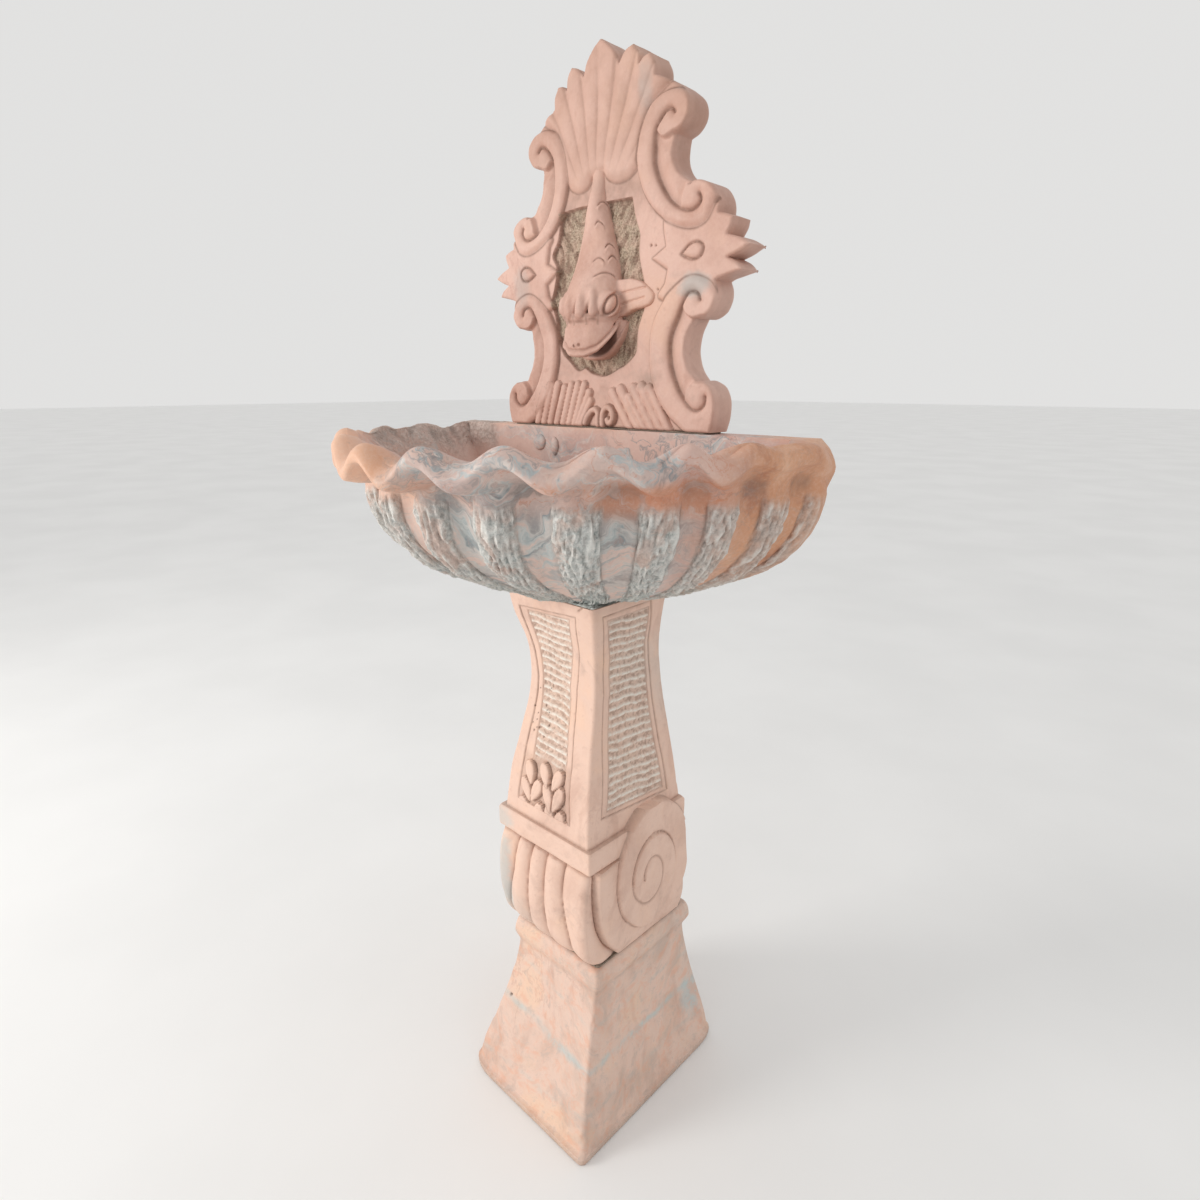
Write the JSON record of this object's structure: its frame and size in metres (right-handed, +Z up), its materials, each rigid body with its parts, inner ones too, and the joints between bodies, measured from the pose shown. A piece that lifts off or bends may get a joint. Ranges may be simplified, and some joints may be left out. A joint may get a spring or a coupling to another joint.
{
  "type": "marble wall fountain",
  "caption": "Carved marble fountain: flared plinth, scroll column, half-shell basin with a wavy lip, and a scrolled back panel whose dolphin mask spouts into the basin.",
  "frame": {"origin": "centre of the plinth's underside", "axes": "+Z up, -Y towards the front of the fountain, +X to the right of someone facing it from the front"},
  "size_m": [0.7436, 0.581, 1.65],
  "materials": {
    "pink_marble": "honed, weathered",
    "veined_marble": "honed inside and on the lip, tooled on the ribs",
    "mortar": "rough, matt",
    "dowel_steel": "turned",
    "brass": "satin, slightly tarnished",
    "copper": "drawn copper tube, slightly tarnished",
    "rubber": "matt",
    "lever_paint": "dipped coating"
  },
  "bodies": {
    "fountain": {"plinth": "pink_marble", "column": "pink_marble", "basin": "veined_marble", "back_panel": "pink_marble", "plinth_mortar_bed": "mortar", "column_mortar_bed": "mortar", "panel_mortar_bed": "mortar", "plinth_dowel_left": "dowel_steel", "plinth_dowel_right": "dowel_steel", "basin_dowel_left": "dowel_steel", "basin_dowel_right": "dowel_steel", "panel_dowel_left": "dowel_steel", "panel_dowel_right": "dowel_steel", "waste_gasket": "rubber", "waste_flange": "brass", "waste_backnut": "brass", "waste_pipe": "copper", "spout_pipe": "copper", "spout_elbow": "brass", "supply_riser": "copper", "stop_valve_body": "brass", "inlet_union": "brass", "pipe_clip": "brass", "clip_screw_left": "dowel_steel", "clip_screw_right": "dowel_steel"},
    "standpipe": {"overflow_standpipe": "brass"},
    "valve_lever": {"stop_valve_ball": "dowel_steel", "stop_valve_stem": "brass", "stop_valve_lever": "lever_paint", "lever_nut": "dowel_steel"}
  },
  "joints": [
    {"name": "standpipe_lift", "type": "slide", "parent": "fountain", "child": "standpipe", "axis": [0, 0, 1], "range_m": [0, 0.12]},
    {"name": "lever_turn", "type": "hinge", "parent": "fountain", "child": "valve_lever", "pos_m": [0, 0.083, 1.07], "axis": [0, 1, 0], "range_deg": [0, 90]}
  ]
}
